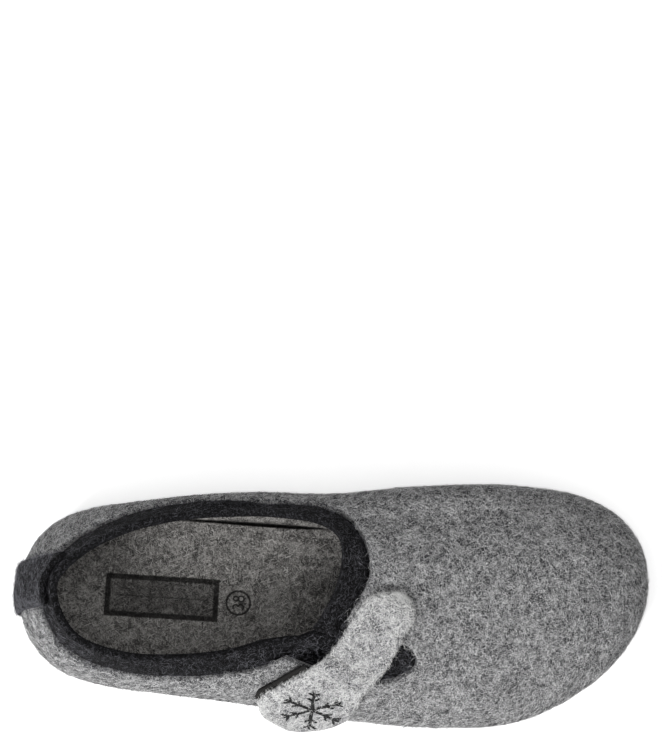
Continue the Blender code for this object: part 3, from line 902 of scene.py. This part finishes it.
def build_flake(high, mat):
    """Embroidered snowflake: satin stitches across six arms and their barbs, laid on the
    strap's top face."""
    quads = grid_quads(high.shape[0], high.shape[1])
    tree = BVHTree.FromPolygons(high.reshape(-1, 3).tolist(), quads.tolist())
    bars = []
    for k in range(6):
        angle = np.pi / 2 + k * np.pi / 3
        arm = np.array([np.cos(angle), np.sin(angle)])
        bars.append((np.zeros(2), arm, 0.056))
        for place, size in ((0.48, 0.24), (0.80, 0.24)):
            for turn in (0.85, -0.85):
                c, s = np.cos(turn), np.sin(turn)
                out = np.array([arm[0] * c - arm[1] * s, arm[0] * s + arm[1] * c])
                bars.append((arm * place, arm * place + out * size, 0.042))
    threads = []
    rng = np.random.default_rng(SEED + 1)
    for start, end, half in bars:
        along = (end - start) / np.linalg.norm(end - start)
        side = np.array([-along[1], along[0]])
        count = int(np.linalg.norm(end - start) / 0.020)
        for i in range(count):
            t = (i + 0.5) / count
            mid = start + (end - start) * t + rng.normal(size=2) * 0.004
            reach = half * (1.0 - 0.25 * t) * rng.uniform(0.85, 1.15)
            slant = along * 0.03
            line = [mid + side * reach * q + slant * q for q in (-1, -0.5, 0, 0.5, 1)]
            threads.append(line)
    flat = np.array(threads)
    x = FLAKE_AT[0] + flat[..., 0] * FLAKE_LONG + flat[..., 1] * 0.0008
    y = FLAKE_AT[1] + flat[..., 1] * FLAKE_TALL - flat[..., 0] * 0.0008
    z = np.zeros_like(x)
    normal = np.zeros(x.shape + (3,))
    for i in range(x.shape[0]):
        for j in range(x.shape[1]):
            hit = tree.ray_cast((x[i, j], y[i, j], 0.2), (0, 0, -1.0))
            z[i, j] = hit[0].z if hit[0] is not None else 0.03
            normal[i, j] = hit[1] if hit[0] is not None else (0, 0, 1)
    normal *= np.where(normal[..., 2] < 0, -1.0, 1.0)[..., None]
    rise = np.array([-0.0001, 0.00030, 0.00040, 0.00030, -0.0001])[None, :, None]
    paths = np.stack([x, y, z], -1) + normal * rise
    tubes("snowflake_thread", paths, 0.00016, mat)


# heel strip

def tab_turns(climb, places):
    """Turns across the heel strip at one height, the same width everywhere."""
    turn = np.linspace(-0.12, 0.12, 121)
    y = wall(turn, climb + 0 * turn)[:, 1]
    return np.interp(-(TAB_Y + places * TAB_HALF), -y, turn)


def build_tab(mat):
    """Strip up the heel: rows under the widest line, then up the wall over the grey felt
    and the band; its long edges are rounded."""
    places = np.sin(np.linspace(np.pi / 2, -np.pi / 2, 41))
    inner = []
    outer = []
    thick = TAB * (0.45 + 0.55 * np.sqrt(np.clip(1 - np.abs(places) ** 9, 0, 1)))
    for share in np.linspace(0.55, 0.06, 8):
        turn = tab_turns(0.0, places)
        inner.append(under_wall(turn, share, -CLEAR))
        level = under_wall(turn, share, -CLEAR - TAB) - inner[-1]
        outer.append(inner[-1] + level * (thick / TAB)[:, None])
    for climb in np.linspace(0.0, 0.95, 60):
        turn = tab_turns(climb, places)
        c = climb + 0 * turn
        base = wall(turn, c)
        normal = wall_normal(turn, c)
        inner.append(base + normal * CLEAR)
        lump = 1.3 * felt_lumps(base + 0.9)
        outer.append(base + normal * (CLEAR + thick + lump)[:, None])
    rows = len(inner)
    points = np.concatenate([np.array(inner).reshape(-1, 3), np.array(outer).reshape(-1, 3)])
    item = mesh_from("heel_strip_felt", points, sheet_quads(rows, len(places)), mat)
    close_up(item, 2e-6)
    finish_piece(item, "heel_tab")
    return np.array(outer)


# ---- fibres on each piece

def scatter_wall(count, low, high, seed, turn_low=0.0, turn_high=1.0):
    """Random places on the wall, evenly by area: more are drawn than kept, and each is kept
    with a chance that follows the size of its patch of wall."""
    rng = np.random.default_rng(seed)
    turn = rng.uniform(turn_low, turn_high, count * 3)
    climb = rng.uniform(0, 1, count * 3)
    step = 1e-3
    du = (wall(turn + step, climb) - wall(turn - step, climb)) / (2 * step)
    dv = (wall(turn, np.clip(climb + step, 0, 1)) - wall(turn, climb)) / step
    area = np.linalg.norm(np.cross(du, dv), axis=1)
    keep = rng.uniform(0, 1, len(turn)) < area / np.percentile(area, 97)
    turn = turn[keep]
    climb = climb[keep]
    inside = (climb > low(turn)) & (climb < high(turn))
    return turn[inside][:count], climb[inside][:count]


def build_naps(high, tab_rows, mats):
    """Fibres over the grey felt, the collar, the strap and the heel strip."""
    turns = np.linspace(0, 1, 801)
    edge = arc_climb(turns, around("grey", turns) + notch(turns))
    foot = lambda t: 0 * t
    brim = lambda t: np.interp(t, turns, edge)
    for tone, seed in (("pale", 2), ("deep", 20)):
        turn, climb = scatter_wall(31000, foot, brim, SEED + seed)
        nap_piece("upper_nap_" + tone, surface_upper(turn, climb), wall_normal(turn, climb),
                  mats[tone], 0.0032, 0.00013, 0.32, 0.25, SEED + seed + 1)
    turn, climb = scatter_wall(6500, brim, lambda t: 0 * t + 0.995, SEED + 4)
    base = wall(turn, climb)
    normal = wall_normal(turn, climb)
    nap_piece("collar_nap", base - normal * 0.0008, normal, mats["dark"],
              0.0034, 0.00011, 0.35, 0.50, SEED + 5, 5)
    rng = np.random.default_rng(SEED + 6)
    i = rng.integers(2, high.shape[0] - 2, 5200)
    j = rng.integers(1, high.shape[1] - 1, 5200)
    nap_piece("strap_nap", high[i, j], grid_normals(high)[i, j], mats["light"],
              0.0024, 0.00012, 0.45, 0.20, SEED + 7)
    i = rng.integers(1, tab_rows.shape[0] - 1, 1500)
    j = rng.integers(1, tab_rows.shape[1] - 1, 1500)
    normal = np.cross(np.gradient(tab_rows, axis=1), np.gradient(tab_rows, axis=0))
    normal /= np.linalg.norm(normal, axis=-1)[..., None]
    normal *= np.where(normal[..., :1] > 0, -1.0, 1.0)
    nap_piece("heel_strip_nap", tab_rows[i, j], normal[i, j], mats["dark"],
              0.0030, 0.00011, 0.4, 0.5, SEED + 8, 5)


def nap_piece(name, roots, normals, mat, length, width, lean, curl, seed, segments=3):
    item = nap(name, roots, normals, mat, length, width, lean, curl, seed, segments)
    finish_piece(item, None)


# ---- studio

AIM_PX = (331.5, 607.5)         # where the middle of the shoe lies in the photograph
PX_PER_M = 2435.0               # scale of the photograph on the shoe
FRAME_PX = (663, 750)
CAMERA_FAR = 2.0
CAMERA_UP = np.radians(80.3)
CAMERA_BACK = np.radians(2.0)
SHOE_MIDDLE = (0.090, -0.0055, 0.020)


def build_studio():
    """Pale floor that glows faintly, a painted light that lifts the shadows off it, soft lights
    from the outer side and above, and the photograph's camera.
    """
    mesh = bpy.data.meshes.new("floor")
    size = 3.0
    mesh.from_pydata([(-size, -size, 0), (size, -size, 0), (size, size, 0), (-size, size, 0)],
                     [], [(0, 1, 2, 3)])
    floor = bpy.data.objects.new("floor", mesh)
    bpy.context.scene.collection.objects.link(floor)
    mat, tree, shader = new_material("pale_paper_glowing")
    shader.inputs["Base Color"].default_value = (0.95, 0.95, 0.95, 1)
    shader.inputs["Roughness"].default_value = 0.9
    # Painted light: the floor glows a little, so its shadows lift and the shoe is lit faintly
    # from below.
    shader.inputs["Emission Color"].default_value = (1, 1, 1, 1)
    shader.inputs["Emission Strength"].default_value = 0.35
    mesh.materials.append(mat)

    world = bpy.data.worlds.new("studio")
    bpy.context.scene.world = world
    world.use_nodes = True
    background = world.node_tree.nodes["Background"]
    background.inputs["Color"].default_value = (1.0, 1.0, 1.0, 1)
    background.inputs["Strength"].default_value = 0.55

    def lamp(name, place, aim, size, power):
        data = bpy.data.lights.new(name, "AREA")
        data.shape = "DISK"
        data.size = size
        data.energy = power
        item = bpy.data.objects.new(name, data)
        item.location = place
        way = Vector(aim) - Vector(place)
        item.rotation_euler = way.to_track_quat("-Z", "Y").to_euler()
        bpy.context.scene.collection.objects.link(item)

    lamp("outer_side", (-0.70, -1.00, 0.95), (0.07, 0.0, 0.03), 0.6, 30.0)
    lamp("overhead", (0.15, -0.15, 1.5), (0.09, 0.0, 0.0), 0.9, 7.0)

    data = bpy.data.cameras.new("camera")
    camera = bpy.data.objects.new("camera", data)
    bpy.context.scene.collection.objects.link(camera)
    away = np.array([-np.sin(CAMERA_BACK) * np.sin(CAMERA_UP), -np.cos(CAMERA_UP),
                     np.sin(CAMERA_UP) * np.cos(CAMERA_BACK)])
    away /= np.linalg.norm(away)
    right = np.cross((0.0, 1.0, 0.0), away)
    right /= np.linalg.norm(right)
    up = np.cross(away, right)
    shift_x = (FRAME_PX[0] / 2 - AIM_PX[0]) / PX_PER_M
    shift_y = (AIM_PX[1] - FRAME_PX[1] / 2) / PX_PER_M
    centre = np.array(SHOE_MIDDLE) + right * shift_x + up * shift_y
    place = centre + away * CAMERA_FAR
    camera.matrix_world = Matrix([(*row, p) for row, p in
                                  zip(np.stack([right, up, away], 1).tolist(), place)]
                                 + [(0.0, 0.0, 0.0, 1.0)])
    data.sensor_width = 36.0
    data.sensor_height = 36.0
    data.lens = 36.0 * CAMERA_FAR / (FRAME_PX[1] / PX_PER_M)
    data.clip_end = 20.0
    bpy.context.scene.camera = camera
    bpy.context.scene.view_settings.view_transform = "Standard"


def main():
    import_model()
    grey, _, _, _ = felt("wool_felt_grey_melange", "2A2A2C", "636365", "A0A0A0", "C2C2C2")
    light, _, _, _ = felt("wool_felt_light_grey", "36363A", "757577", "AEAEAE", "D0D0CF")
    dark, _, _, _ = felt("wool_felt_anthracite", "060606", "0C0C0D", "161617", "424246",
                         tuft_mm=1.0)
    warm, tree, shader, colour = felt("wool_felt_insole", "302F2E", "62605E", "94928F",
                                      "B0AEAB", tuft_mm=1.0, depth_mm=0.25)
    # The insole's layer darkens its felt towards near black: real print on the stamps, painted
    # shade in the slit at the waist.
    ink_and_painted_shade = node(tree, "ShaderNodeAttribute", attribute_name="ink_and_painted_shade")
    print_and_painted_shade = tinted(tree, ink_and_painted_shade.outputs["Fac"], colour, "0A0909", 0.93)
    tree.links.new(print_and_painted_shade, shader.inputs["Base Color"])
    rubber = plain("moulded_rubber_black", "1A1A1B", 0.62, 0.8, 0.06)
    nylon = plain("woven_nylon_black", "141415", 0.55, 0.5, 0.08)
    thread = plain("embroidery_thread_dark", "060607", 0.5)
    fibre_grey = plain("wool_fibre_grey", "BDBDBD", 0.8)
    fibre_deep = plain("wool_fibre_deep", "262628", 0.8)
    fibre_light = plain("wool_fibre_light", "CFCFCE", 0.8)
    fibre_dark = plain("wool_fibre_on_dark", "5C5C61", 0.8)

    build_upper(grey)
    build_collar(dark)
    build_sole(rubber)
    build_insole(warm)
    build_stamp(warm)
    strap_tree = wall_tree()
    high = build_strap(strap_tree, light)
    build_tape(strap_tree, nylon, plain("overcast_thread_dark", "1F1E1D", 0.7))
    build_flake(high, thread)
    tab_rows = build_tab(dark)
    build_naps(high, tab_rows, {"pale": fibre_grey, "deep": fibre_deep,
                                "light": fibre_light, "dark": fibre_dark})
    build_studio()


main()
